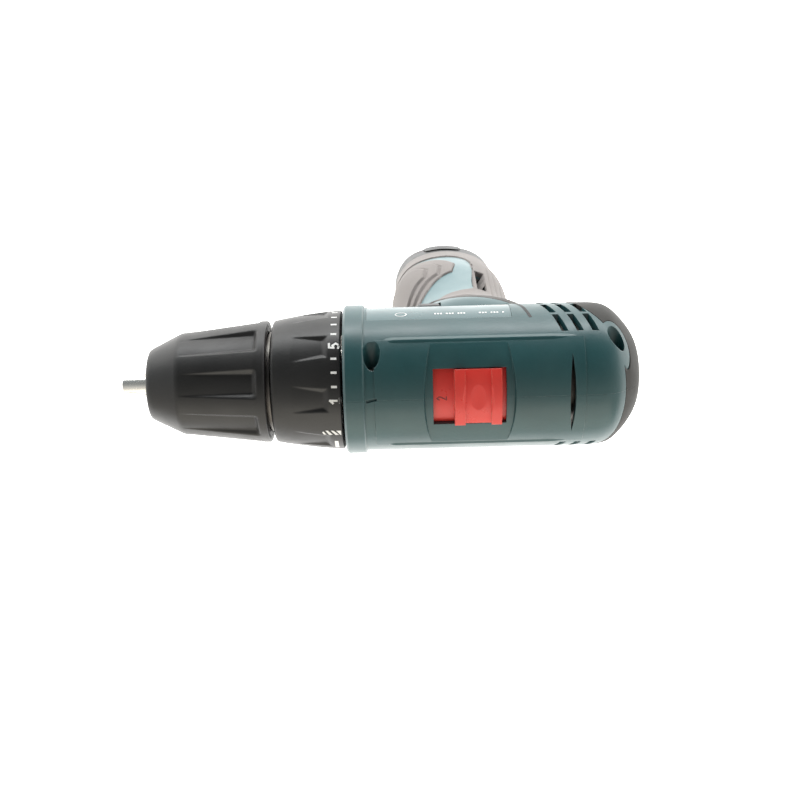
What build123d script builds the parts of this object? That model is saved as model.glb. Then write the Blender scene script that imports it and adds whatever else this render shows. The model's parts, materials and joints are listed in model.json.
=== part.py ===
from build123d import *
import math
import os

# A compact two-speed cordless drill with a stick battery inside its handle.
# Millimetres. +X is forward along the chuck, +Z is up and +Y is the drill's left.
# The origin is the middle of the foot, the battery's flat base under the handle.

# ---------------------------------------------------------------- driving dimensions
AXIS_Z = 155.0          # height of the chuck axis above the foot
REAR_X = -62.0          # rearmost point of the body
FLANGE_X = 41.0         # front face of the housing
JAW_TIP_X = 120.0       # tip of the closed jaws
BODY_R = 25.3           # barrel radius
FLANGE_R = 26.25        # radius of the ring at the housing's front
SHELL = 2.4             # housing wall
SKIN = 1.5              # depth of the soft grip let into the housing
GAP = 0.3               # clearance between bodies that move past each other

# planetary gearbox: three equal stages
MODULE = 0.8
SUN_TEETH = 15
PLANET_TEETH = 12
RING_TEETH = SUN_TEETH + 2 * PLANET_TEETH
PLANETS = 3
PRESSURE_ANGLE = math.radians(25)
ADDENDUM = 0.8 * MODULE
DEDENDUM = 1.0 * MODULE
BACKLASH = 0.12
ORBIT_R = MODULE * (SUN_TEETH + PLANET_TEETH) / 2
RING_OUTER_R = 18.3
PIN_R = 1.5
RUNNING = 0.06          # radial clearance of a running fit

# stations of the three gear stages: planet rear face and planet front face
STAGE_X = [(-10.0, -4.6), (-1.4, 4.6), (12.6, 19.0)]
CARRIER_THICK = 1.8
SELECTOR_TRAVEL = 5.5

# gearbox case
CASE_X = (-12.0, 25.2)
CASE_R = 20.8
CASE_BORE_R = RING_OUTER_R
NOSE_FRONT_X = 63.0
NOSE_R = 12.0

# clutch
BALL_R = 2.0
BALL_ORBIT_R = 15.8
BALLS = 6
CLUTCH_PLATE_X = (26.0, 27.5)
CLUTCH_SPRING_X = (27.6, 51.0)
SPRING_COIL_R = 14.6
NUT_X = (56.4, 60.6)

# collar
COLLAR_X = (41.7, 65.8)

# motor
MOTOR_X = (-47.5, -12.0)
MOTOR_R = 18.0
SHAFT_R = 1.6

# chuck
CHUCK_REAR_X = 66.4
SLEEVE_X = (67.6, 109.7)
SLEEVE_SHOULDER_X = 98.8
CHUCK_CORE_R = 16.8
JAW_R = 3.5
JAW_SLOPE = math.radians(15)
JAW_LENGTH = 33.0
JAW_TIP_R = 2.4
JAW_CLOCK = 20.0         # degrees that the jaws are turned from the top
SPINDLE_R = 5.0

# handle and battery base: height, half length along X, half width along Y, centre along X
HANDLE_SECTIONS = [
    (0.0, 18.4, 14.6, 0.3),
    (4.0, 21.0, 17.2, 0.3),
    (14.0, 22.5, 19.0, 0.2),
    (45.0, 22.9, 20.8, -0.3),
    (80.0, 20.9, 19.4, -2.3),
    (108.0, 20.1, 18.0, -4.8),
    (136.0, 29.0, 20.0, -7.0),
]
SPLIT_Z = 27.0          # height where the battery's base meets the handle
SECTION_POWER = 2.4     # between an ellipse (2) and a box

# battery
CELL_R = 7.05             # half the pitch of 14650 lithium cells, 14 mm across
CELL_LENGTH = 65.0
CELL_LOW_Z = 17.1
CASE_CENTRE_X = -2.1
CASE_HALF = (17.1, 16.1)
CASE_Z = (16.0, 84.0)
STEM_TOP_Z = 90.0
BATTERY_WALL = 0.9
CUP_INSET = SHELL + 0.2
RELEASE_X = (-7.0, 9.0)
RELEASE_Z = (9.0, 20.0)


# ---------------------------------------------------------------- helpers
def across(x):
    """The plane square to the chuck axis at station x: local x is +Y, local y is +Z."""
    return Plane(origin=(x, 0, AXIS_Z), x_dir=(0, 1, 0), z_dir=(1, 0, 0))


def disc(r, x0, x1):
    """A round bar on the chuck axis."""
    return across(x0) * extrude(Circle(r), x1 - x0)


def tube(r_out, r_in, x0, x1):
    return disc(r_out, x0, x1) - disc(r_in, x0 - 1, x1 + 1)


def turned(points):
    """A solid of revolution about the chuck axis from (x, radius) points."""
    outline = Polyline([(x, 0, AXIS_Z + r) for x, r in points], close=True)
    return revolve(make_face(outline), Axis((0, 0, AXIS_Z), (1, 0, 0)))


def around(shape, angle):
    """The shape turned about the chuck axis, in degrees."""
    return shape.rotate(Axis((0, 0, AXIS_Z), (1, 0, 0)), angle)


def ring_of(shape, count, start=0.0):
    """Copies of the shape evenly spaced about the chuck axis."""
    return [around(shape, start + 360 / count * i) for i in range(count)]


def block(x0, x1, y0, y1, z0, z1):
    """A box from its limits."""
    box = Box(x1 - x0, y1 - y0, z1 - z0, align=(Align.MIN, Align.MIN, Align.MIN))
    return Pos(x0, y0, z0) * box


def bar_y(r, x, z, y0, y1):
    """A round bar along Y."""
    plane = Plane(origin=(x, y0, z), x_dir=(1, 0, 0), z_dir=(0, 1, 0))
    return plane * extrude(Circle(r), y1 - y0)


def bar_z(r, x, y, z0, z1):
    """A round bar along Z."""
    return Pos(x, y, z0) * Cylinder(r, z1 - z0, align=(Align.CENTER, Align.CENTER, Align.MIN))


def side_prism(points, y0, y1):
    """A prism along Y from (x, z) points."""
    outline = Polyline([(x, y0, z) for x, z in points], close=True)
    return extrude(make_face(outline), y1 - y0, dir=(0, 1, 0))


def joined(shapes):
    """All the shapes fused into one."""
    result = shapes[0]
    for shape in shapes[1:]:
        result = result + shape
    return result


def group(shapes):
    """Separate solids kept side by side in one part."""
    return Compound(children=[s for shape in shapes for s in shape.solids()])


def save(node, shape):
    export_step(shape, f"parts/{node}.step")


# ---------------------------------------------------------------- outer form
def superellipse(height, half_x, half_y, centre_x, inset=0.0):
    """One level section of the handle, shrunk by the inset."""
    points = []
    steps = 12
    for i in range(steps):
        a = 2 * math.pi * (i + 0.5) / steps
        c, s = math.cos(a), math.sin(a)
        x = centre_x + (half_x - inset) * math.copysign(abs(c) ** (2 / SECTION_POWER), c)
        y = (half_y - inset) * math.copysign(abs(s) ** (2 / SECTION_POWER), s)
        points.append((x, y, height))
    return make_face(Spline(points, periodic=True))


def handle_form(inset=0.0, low=SPLIT_Z, high=HANDLE_SECTIONS[-1][0]):
    """The handle's outer form between two heights, or a smaller one inside it."""
    body = loft([superellipse(*section, inset=inset) for section in HANDLE_SECTIONS])
    return body & block(-60, 60, -40, 40, low, high)


def barrel_form(inset=0.0, front=FLANGE_X):
    """The barrel with its domed rear end."""
    r = BODY_R - inset
    rear = REAR_X + inset
    dome = Spline(
        [
            (rear, 0, AXIS_Z),
            (rear + 2.2, 0, AXIS_Z + 0.55 * r),
            (rear + 8.5, 0, AXIS_Z + 0.87 * r),
            (rear + 20, 0, AXIS_Z + r),
        ],
        tangents=[(0, 0, 1), (1, 0, 0)],
    )
    top = Polyline([dome @ 1, (front, 0, AXIS_Z + r), (front, 0, AXIS_Z), (rear, 0, AXIS_Z)])
    return revolve(make_face(dome + top), Axis((0, 0, AXIS_Z), (1, 0, 0)))


# ---------------------------------------------------------------- gears
def involute(angle):
    return math.tan(angle) - angle


def gear_outline(teeth, r_root, r_tip, slack):
    """A closed toothed outline with one tooth centred on local x. Positive slack thins the tooth."""
    pitch_r = MODULE * teeth / 2
    base_r = pitch_r * math.cos(PRESSURE_ANGLE)

    def half_angle(r):
        at_r = math.acos(min(1.0, base_r / max(r, base_r)))
        return math.pi / (2 * teeth) + involute(PRESSURE_ANGLE) - involute(at_r) - slack / (2 * pitch_r)

    start_r = max(base_r, r_root)
    radii = [start_r + (r_tip - start_r) * k / 3 for k in range(4)]
    if r_root < base_r:
        radii = [r_root] + radii
    points = []
    for i in range(teeth):
        centre = 2 * math.pi * i / teeth
        for side, row in ((-1, radii), (1, radii[::-1])):
            for r in row:
                a = centre + side * half_angle(r)
                points.append((r * math.cos(a), r * math.sin(a)))
    return make_face(Polyline(points, close=True))


def outer_gear(teeth, x0, x1, bore):
    """A spur gear on the chuck axis, with one tooth pointing along +Y."""
    pitch_r = MODULE * teeth / 2
    face = gear_outline(teeth, pitch_r - DEDENDUM, pitch_r + ADDENDUM, BACKLASH)
    if bore:
        face = face - Circle(bore)
    return across(x0) * extrude(face, x1 - x0)


def ring_gear(x0, x1, outer_r=RING_OUTER_R):
    """A ring with inward teeth, one of them centred on +Y."""
    pitch_r = MODULE * RING_TEETH / 2
    cutter = gear_outline(RING_TEETH, pitch_r - ADDENDUM, pitch_r + DEDENDUM, -BACKLASH)
    cutter = Rot(0, 0, 180 / RING_TEETH) * cutter
    return across(x0) * extrude(Circle(outer_r) - cutter, x1 - x0)


def planet(x0, x1, index):
    """A planet with spaces toward the sun and the ring, on its pin's place around the sun."""
    r = MODULE * PLANET_TEETH / 2
    face = gear_outline(PLANET_TEETH, r - DEDENDUM, r + ADDENDUM, BACKLASH)
    face = Rot(0, 0, 180 / PLANET_TEETH) * face - Circle(PIN_R + RUNNING)
    shape = across(x0) * Pos(ORBIT_R, 0, 0) * extrude(face, x1 - x0)
    return around(shape, 360 / PLANETS * index)


def carrier(stage, sun_front=None):
    """A carrier plate ahead of its planets with their pins, and the next stage's sun on its front."""
    rear, front = STAGE_X[stage]
    plate_x = front + 0.3
    shape = disc(ORBIT_R + 2.6, plate_x, plate_x + CARRIER_THICK)
    pin = across(rear) * Pos(ORBIT_R, 0, 0) * extrude(Circle(PIN_R), plate_x + 0.5 - rear)
    shape = joined([shape] + ring_of(pin, PLANETS))
    if sun_front:
        shape = shape + outer_gear(SUN_TEETH, plate_x + CARRIER_THICK - 0.1, sun_front, 0)
    return shape


# ---------------------------------------------------------------- screws
SCREW_R = 1.4
SCREW_HEAD_R = 2.7
SCREW_HEAD_Y = (-9.0, -6.8)
SCREW_END_Y = 9.0
BOSS_R = 3.6
REAR_TOP_SCREW = 2
SCREWS = [
    # x and height; all run along Y
    (31.2, AXIS_Z + 20.4),
    (27.6, AXIS_Z - 21.4),
    (-51.6, AXIS_Z + 15.6),
    (-51.6, AXIS_Z - 15.6),
    (-23.0, 123.0),
    (-19.0, 99.0),
]


def screw_cut(x, z):
    """What a screw takes out of the right shell: the way in for its head, and its shank."""
    way_in = bar_y(SCREW_HEAD_R + 0.2, x, z, -30, SCREW_HEAD_Y[1])
    return way_in + bar_y(SCREW_R + 0.1, x, z, SCREW_HEAD_Y[1] - 0.1, SCREW_END_Y)


def screw(x, z):
    """A pan-head screw along Y with a cross recess."""
    head = bar_y(SCREW_HEAD_R, x, z, *SCREW_HEAD_Y)
    head = chamfer(head.edges().group_by(Axis.Y)[0], 0.6)
    shank = bar_y(SCREW_R, x, z, SCREW_HEAD_Y[1] - 0.1, SCREW_END_Y - 0.6)
    slot = block(x - 1.7, x + 1.7, SCREW_HEAD_Y[0] - 1, SCREW_HEAD_Y[0] + 1.1, z - 0.4, z + 0.4)
    cross = slot + slot.rotate(Axis((x, 0, z), (0, 1, 0)), 90)
    return head + shank - cross


# ---------------------------------------------------------------- housing
POCKET_X = (-14.2, 11.1)
POCKET_HALF = 43.0      # degrees each side of the top
POCKET_DEPTH = 1.0
WINDOW_X = (-13.9, 10.8)
WINDOW_HALF = 23.5
VENT_TOP_Z = AXIS_Z + 15.6
VENT_FRONT_X = -33.2
TRIGGER_Z = (103.0, 126.0)
DIRECTION_Z = 130.5
DIRECTION_X = 10.5
DIRECTION_HALF_X = 4.2
DIRECTION_HALF_Z = 2.1
DIRECTION_Y = 20.6
LABEL_X = (-17.0, 33.0)
LABEL_HALF_Z = 9.0
LIGHT_X = 31.6
LIGHT_R = 2.2
PANEL_HALF = 47.0       # half angle of the raised panel along the top
PANEL_RISE = 0.3
SEAM = 0.22             # width of the line where soft grip and hard housing meet
VENT_SLOT_X = (-13.6, -10.2)
VENT_SLOT_Z = (71.5, 93.5)


def sector(r_out, r_in, x0, x1, half, at=90.0):
    """Part of a tube about the chuck axis, half degrees each side of the angle it faces."""
    reach = 60.0
    lo, hi = math.radians(at - half), math.radians(at + half)
    mid = math.radians(at)
    corners = [
        (0, 0),
        (reach * math.cos(lo), reach * math.sin(lo)),
        (reach * math.cos(mid), reach * math.sin(mid)),
        (reach * math.cos(hi), reach * math.sin(hi)),
    ]
    wedge = across(x0) * extrude(make_face(Polyline(corners, close=True)), x1 - x0)
    return tube(r_out, r_in, x0, x1) & wedge


def vent_cutters():
    """Three rows of three leaning slots on each side, near the rear."""
    row_height = 7.3
    row_pitch = 8.5
    slot_width = 2.3
    column_pitch = 5.2
    lean = 3.1
    cutters = []
    for row in range(3):
        top = VENT_TOP_Z - row * row_pitch
        for column in range(3):
            x = VENT_FRONT_X + row * lean - column * column_pitch
            corners = [
                (x, top),
                (x - slot_width, top),
                (x - slot_width + lean * row_height / row_pitch, top - row_height),
                (x + lean * row_height / row_pitch, top - row_height),
            ]
            cutters.append(side_prism(corners, -30, 30))
    return cutters


def top_slit():
    """A lens-shaped slot across the top of the barrel."""
    half_width, half_length, x = 0.95, 13.8, -36.2
    front = ThreePointArc((x, -half_length), (x + half_width, 0), (x, half_length))
    rear = ThreePointArc((x, half_length), (x - half_width, 0), (x, -half_length))
    lens = make_face(front + rear)
    return Pos(0, 0, AXIS_Z + 15) * extrude(lens, 15)


def grip_regions():
    """The soft grip's areas in the side view: cap, back and lower band in one, and the front tongue."""
    up = AXIS_Z
    cap = Spline(
        [
            (x, 0, z)
            for x, z in [
                (-55.2, up + 32),
                (-54.6, up + 21),
                (-48.6, up + 13.8),
                (-42.3, up + 5.0),
                (-35.5, up - 8.0),
                (-24.0, up - 21.5),
                (-6.0, up - 27.5),
                (13.2, up - 34.0),
            ]
        ]
    )
    back = Spline([(x, 0, z) for x, z in [(13.2, up - 34.0), (8.5, 110), (3.3, 101), (-6.5, 94.5)]])
    below = Spline(
        [(x, 0, z) for x, z in [(-8.6, 92), (-9.2, 72), (-8.6, 56), (-5.0, 47.5), (4.0, 44.5), (26.0, 43.5)]]
    )
    rest = Polyline(
        [below @ 1, (40, 0, 43.5), (40, 0, 10), (-90, 0, 10), (-90, 0, up + 32), cap @ 0]
    )
    corner = Line(back @ 1, below @ 0)
    main = make_face(cap + back + corner + below + rest)

    upper = Spline(
        [(x, 0, z) for x, z in [(26, 100.5), (19, 99), (13.8, 94), (8.5, 85.5), (3.9, 78.5), (-1.0, 74)]]
    )
    lower = Spline([(x, 0, z) for x, z in [(-2.6, 63.5), (1.7, 57), (10, 50.5), (26, 47.5)]])
    tip = Line(upper @ 1, lower @ 0)
    rest = Polyline([lower @ 1, (40, 0, 47.5), (40, 0, 100.5), upper @ 0])
    tongue = make_face(upper + tip + lower + rest)
    return [(main, [cap, back, corner, below]), (tongue, [upper, tip, lower])]


def ribbon(curve, half_width):
    """A narrow strip of the side view that follows a curve."""
    steps = 1 if isinstance(curve, Line) else 14
    above, below = [], []
    for k in range(steps + 1):
        place = curve @ (k / steps)
        along = curve % (k / steps)
        square = Vector(-along.Z, 0, along.X) * half_width
        above.append(place + square)
        below.append(place - square)
    top, bottom = Spline(above), Spline(below)
    return make_face(top + Line(top @ 1, bottom @ 1) + bottom + Line(bottom @ 0, top @ 0))


def through(face):
    """A side-view area pushed through the whole width."""
    return extrude(face, 40, dir=(0, 1, 0), both=True)


def openings():
    """What is cut through both the housing and its soft grip."""
    cuts = [block(4, 50, -7.3, 7.3, TRIGGER_Z[0] - GAP, TRIGGER_Z[1] + GAP)]
    reach_x, reach_z = DIRECTION_HALF_X + GAP, DIRECTION_HALF_Z + GAP
    x0, x1 = DIRECTION_X - reach_x, DIRECTION_X + reach_x
    cuts.append(block(x0, x1, -40, 40, DIRECTION_Z - reach_z, DIRECTION_Z + reach_z))
    slot = block(*VENT_SLOT_X, -40, 40, *VENT_SLOT_Z)
    cuts.append(fillet(slot.edges().filter_by(Axis.Y), 1.0))
    return cuts + vent_cutters() + [screw_cut(x, z) for x, z in SCREWS]


def pocket_form():
    """What the selector's pocket takes away. Its floor is flatter than the barrel and runs out sideways."""
    half = math.radians(POCKET_HALF)
    rim_r = BODY_R + PANEL_RISE
    rim_y, rim_z = rim_r * math.sin(half), rim_r * math.cos(half)
    drop = BODY_R - POCKET_DEPTH - rim_z
    floor_r = (rim_y ** 2 + drop ** 2) / (2 * drop)
    x0, x1 = POCKET_X
    low, high, splay = AXIS_Z + rim_z - 1, AXIS_Z + 34, 6.0
    room = side_prism([(x0, low), (x0 - splay, high), (x1 + splay, high), (x1, low)], -rim_y, rim_y)
    floor = Pos(0, 0, BODY_R - POCKET_DEPTH - floor_r) * disc(floor_r, x0 - 9, x1 + 9)
    return room - floor


def build_housing():
    outer = barrel_form() + handle_form()
    outer = outer + turned(
        [
            (FLANGE_X - 7.1, 20.6),
            (FLANGE_X - 7.1, FLANGE_R - 0.5),
            (FLANGE_X - 6.6, FLANGE_R),
            (FLANGE_X - 0.8, FLANGE_R),
            (FLANGE_X, FLANGE_R - 0.8),
            (FLANGE_X, 20.6),
        ]
    )
    outer = outer + sector(BODY_R + PANEL_RISE, BODY_R - 0.5, -40.5, 30.5, PANEL_HALF)
    shell = outer - (barrel_form(SHELL) + handle_form(SHELL, SPLIT_Z - 1))

    # the selector's pocket and window, with room for its plate under the edges
    shell = shell - pocket_form()
    shell = shell - sector(40, 15, *WINDOW_X, WINDOW_HALF)
    shell = shell - sector(PLATE_R[1] + GAP, 15, -23, 28, 27.5)
    shell = shell - top_slit()
    mark = Pos(31.6, 0, AXIS_Z + BODY_R + 1) * Rot(0, 0, 14) * Box(3.6, 0.9, 3.0)
    shell = shell - mark

    # ribs that hold the gearbox and the motor, and bosses for the screws
    hold = barrel_form(SHELL - 0.3)
    keep_clear = sector(40, 10, -25, 30, 30)
    for rib_r, x in ((CASE_R, 15.0), (CASE_R, -9.5), (MOTOR_R, -44.5), (MOTOR_R, -19.5)):
        rib = tube(30, rib_r + 0.02, x, x + 1.8) & hold
        shell = shell + (rib - keep_clear)
    room = disc(MOTOR_R + 0.4, *MOTOR_X) + disc(CASE_R + 0.02, CASE_X[0], 28) + disc(17.4, 27, 50)
    for x, z in SCREWS:
        boss = bar_y(BOSS_R, x, z, -27, 27) & outer
        shell = shell + (boss - room)

    skin = outer - (barrel_form(SKIN) + handle_form(SKIN, SPLIT_Z - 1))
    around_screw = bar_y(BOSS_R + 1.2, *SCREWS[REAR_TOP_SCREW], -30, -4)
    wider_screw = bar_y(BOSS_R + 1.2 + SEAM, *SCREWS[REAR_TOP_SCREW], -30, -4)
    grips = []
    for face, curves in grip_regions():
        area = skin & through(face)
        shell = shell - (area - around_screw)
        grip = area - wider_screw
        for curve in curves:
            grip = grip - through(ribbon(curve, SEAM))
        grips.append(grip)

    for cut in openings():
        shell = shell - cut
        grips = [grip - cut for grip in grips]
    shell = shell - light_form(0.05)

    right = block(-90, 90, -60, 0, -5, 250)
    left = block(-90, 90, 0, 60, -5, 250)
    save("housing_right", main_solid((shell & right) - label_form(0.0, BODY_R + 2)))
    save("housing_left", main_solid(shell & left))
    save("grip_right", group([main_solid(grip & right) for grip in grips]))
    save("grip_left", group([main_solid(grip & left) for grip in grips]))
    save("label_plate", label_form(0.02))
    save("housing_screws", group([screw(x, z) for x, z in SCREWS]))


def main_solid(shape):
    """The largest solid, without crumbs that a cut leaves."""
    return max(shape.solids(), key=lambda s: s.volume)


def label_form(shrink, top=BODY_R - 0.25):
    """A thin plate let into the right side of the barrel."""
    plate = tube(top, BODY_R - 0.9, LABEL_X[0] + shrink, LABEL_X[1] - shrink)
    half = LABEL_HALF_Z - shrink
    return plate & block(-90, 90, -60, 0, AXIS_Z - half, AXIS_Z + half)


def light_form(grow):
    """The work light: a small lens in the underside of the barrel, ahead of the trigger."""
    low = AXIS_Z - BODY_R - 0.4
    return bar_z(LIGHT_R + grow, LIGHT_X, 0, low, low + 4.6)


# ---------------------------------------------------------------- speed selector
PLATE_R = (21.9, 23.0)
SELECTOR_HALF = 22.5


def build_selector():
    plate = sector(PLATE_R[1], PLATE_R[0], -20.5, 19.5, 26.0)
    raised = sector(25.0, PLATE_R[0], -12.3, 3.6, SELECTOR_HALF)
    ribs = [
        sector(26.3, 24.0, -12.3, -8.8, SELECTOR_HALF - 0.4),
        sector(26.3, 24.0, 0.0, 3.6, SELECTOR_HALF - 0.4),
    ]
    knob = joined([plate, raised] + ribs)
    knob = knob - bar_y(8.6, -4.4, AXIS_Z + 33.2, -20, 20)
    save("speed_selector", knob)

    # a wire fork from the selector round the sliding ring gear's groove
    fork_x = (1.0, 2.2)
    hoop = tube(21.7, CASE_R + 0.35, *fork_x) & block(-30, 30, -40, 40, AXIS_Z - 4, AXIS_Z + 40)
    tips = [block(*fork_x, RING_OUTER_R - 1.0, CASE_R + 0.8, AXIS_Z - 3.9, AXIS_Z - 1.9)]
    tips.append(mirror(tips[0], Plane.XZ))
    stem = block(*fork_x, -2.0, 2.0, AXIS_Z + 21.0, AXIS_Z + PLATE_R[0] - 0.12)
    save("shift_fork", joined([hoop] + tips + [stem]))
    ring = ring_gear(-1.0, 4.2, RING_OUTER_R - 0.1)
    save("ring_gear_2", ring - tube(25, RING_OUTER_R - 1.1, 0.9, 2.3))


# ---------------------------------------------------------------- gearbox, clutch and spindle
def build_gearbox():
    front_wall = CASE_X[1] - 3.5
    case = tube(CASE_R, CASE_BORE_R, CASE_X[0], front_wall + 0.1)
    case = case + tube(CASE_R, SPINDLE_R + 4.6, front_wall, CASE_X[1])
    case = case + tube(NOSE_R, SPINDLE_R + 4.6, CASE_X[1] - 0.1, NOSE_FRONT_X)
    ball_hole = across(front_wall - 1) * Pos(BALL_ORBIT_R, 0, 0) * extrude(Circle(BALL_R + 0.1), 6)
    for hole in ring_of(ball_hole, BALLS, 30):
        case = case - hole
    # slots on both sides, which the fork's tips slide along
    for side in (-1, 1):
        y0, y1 = sorted((side * 15.0, side * 30.0))
        case = case - block(0.6, 2.6 + SELECTOR_TRAVEL + 0.4, y0, y1, AXIS_Z - 4.3, AXIS_Z - 1.5)
    # bayonet pads that key the case against turning in the housing
    save("gearbox_case", case)

    cover = tube(CASE_BORE_R - 0.02, 8.0, CASE_X[0], CASE_X[0] + 1.4)
    for hole in ring_of(across(CASE_X[0] - 1) * Pos(12.5, 0, 0) * extrude(Circle(1.6), 5), 2, 90):
        cover = cover - hole
    save("gearbox_cover", cover)
    save("ring_gear_1", ring_gear(CASE_X[0] + 1.5, -3.9, RING_OUTER_R - 0.02))

    # the third ring turns against the clutch balls in dimples on its front face
    ring = ring_gear(11.9, front_wall - 0.3, RING_OUTER_R - 0.1)
    save("ring_gear_3", ring)

    ball = across(front_wall + 2.25) * Pos(BALL_ORBIT_R, 0, 0) * Sphere(BALL_R)
    save("clutch_balls", group(ring_of(ball, BALLS, 30)))
    save("clutch_plate", tube(19.2, NOSE_R + 0.1, *CLUTCH_PLATE_X))

    for stage, (rear, front) in enumerate(STAGE_X):
        for index in range(PLANETS):
            save(f"planet_{stage + 1}{'abc'[index]}", planet(rear, front, index))
    save("carrier_1", carrier(0, STAGE_X[1][1] - 0.2))
    save("carrier_2", carrier(1, STAGE_X[2][1] - 0.2))

    spindle = carrier(2)
    spindle = spindle + disc(SPINDLE_R, STAGE_X[2][1] + 1.0, 80.0)
    spindle = spindle - disc(2.6, 66.0, 81.0)
    save("output_spindle", spindle)
    bearings = [tube(SPINDLE_R + 4.58, SPINDLE_R + RUNNING, x, x + 5.0) for x in (25.9, 57.5)]
    save("spindle_bearings", group(bearings))


def helix_spring(coil_r, wire_r, x0, x1, turns):
    """A round wire wound as one helix about the chuck axis."""
    path = Helix(pitch=(x1 - x0 - 2 * wire_r) / turns, height=x1 - x0 - 2 * wire_r, radius=coil_r)
    section = Plane(origin=path @ 0, z_dir=path % 0) * Circle(wire_r)
    wire = sweep(section, path=path)
    return across(x0 + wire_r) * wire


def build_clutch():
    save("clutch_spring", helix_spring(SPRING_COIL_R, 1.15, *CLUTCH_SPRING_X, 5.5))
    nut = tube(18.8, NOSE_R + 0.15, *NUT_X)
    key = across(NUT_X[0]) * Pos(19.0, 0, 0) * extrude(Rectangle(2.8, 3.0), NUT_X[1] - NUT_X[0])
    save("spring_nut", joined([nut] + ring_of(key, 3)) & disc(20.4, 50, 70))


# ---------------------------------------------------------------- torque collar
COLLAR_R_REAR = 24.5
COLLAR_R_FRONT = 21.4
COLLAR_WALL = 2.6


def collar_profile(x):
    """The collar's outer radius at station x: a gentle curve from rear to front."""
    t = (x - COLLAR_X[0]) / (COLLAR_X[1] - COLLAR_X[0])
    return COLLAR_R_REAR - (COLLAR_R_REAR - COLLAR_R_FRONT) * t ** 1.5


def build_collar():
    rear, front = COLLAR_X
    steps = 8
    outer = [(rear + (front - rear) * k / steps, 0) for k in range(steps + 1)]
    outer = [(x, collar_profile(x)) for x, _ in outer]
    outer[-1] = (front, outer[-1][1] - 0.8)
    outer.insert(-1, (front - 0.8, collar_profile(front - 0.8)))
    inner = [(front, NOSE_R + 0.4), (front - 2.6, NOSE_R + 0.4), (front - 2.6, 20.0), (rear, 20.8)]
    shape = turned(outer + inner)
    # keyways inside carry the spring nut round
    keyway = across(rear - 1) * Pos(19.0, 0, 0) * extrude(Rectangle(5.0, 3.8), 22.3)
    for cut in ring_of(keyway & disc(21.0, rear - 2, 70), 3):
        shape = shape - cut
    # eight pairs of finger notches, wide and deep at the rear and running out to a point
    plan = make_face(Polyline([(47.2, -1.4), (47.2, 1.4), (58.6, 0.12), (58.6, -0.12)], close=True))
    column = Pos(0, 0, AXIS_Z) * extrude(plan, 40)
    above_floor = side_prism([(47.2, AXIS_Z + 22.2), (47.2, 200), (60, 200), (60, AXIS_Z + 23.6)], -5, 5)
    notch = column & above_floor
    for index in range(8):
        for offset in (-9.2, 9.2):
            shape = shape - around(notch, 45 * index + offset)
    save("torque_collar", shape)


# ---------------------------------------------------------------- chuck
def jaw_axis_plane(index):
    """The plane at a jaw's tip, square to the jaw. Its local z points back along the jaw."""
    start_r = JAW_TIP_R - JAW_R / math.cos(JAW_SLOPE)
    direction = (-math.cos(JAW_SLOPE), 0, math.sin(JAW_SLOPE))
    plane = Plane(origin=(JAW_TIP_X, 0, AXIS_Z + start_r), x_dir=(0, 1, 0), z_dir=direction)
    return plane


def jaw_rod(r, length, start=0.0):
    return jaw_axis_plane(0).offset(start) * extrude(Circle(r), length - start)


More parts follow.
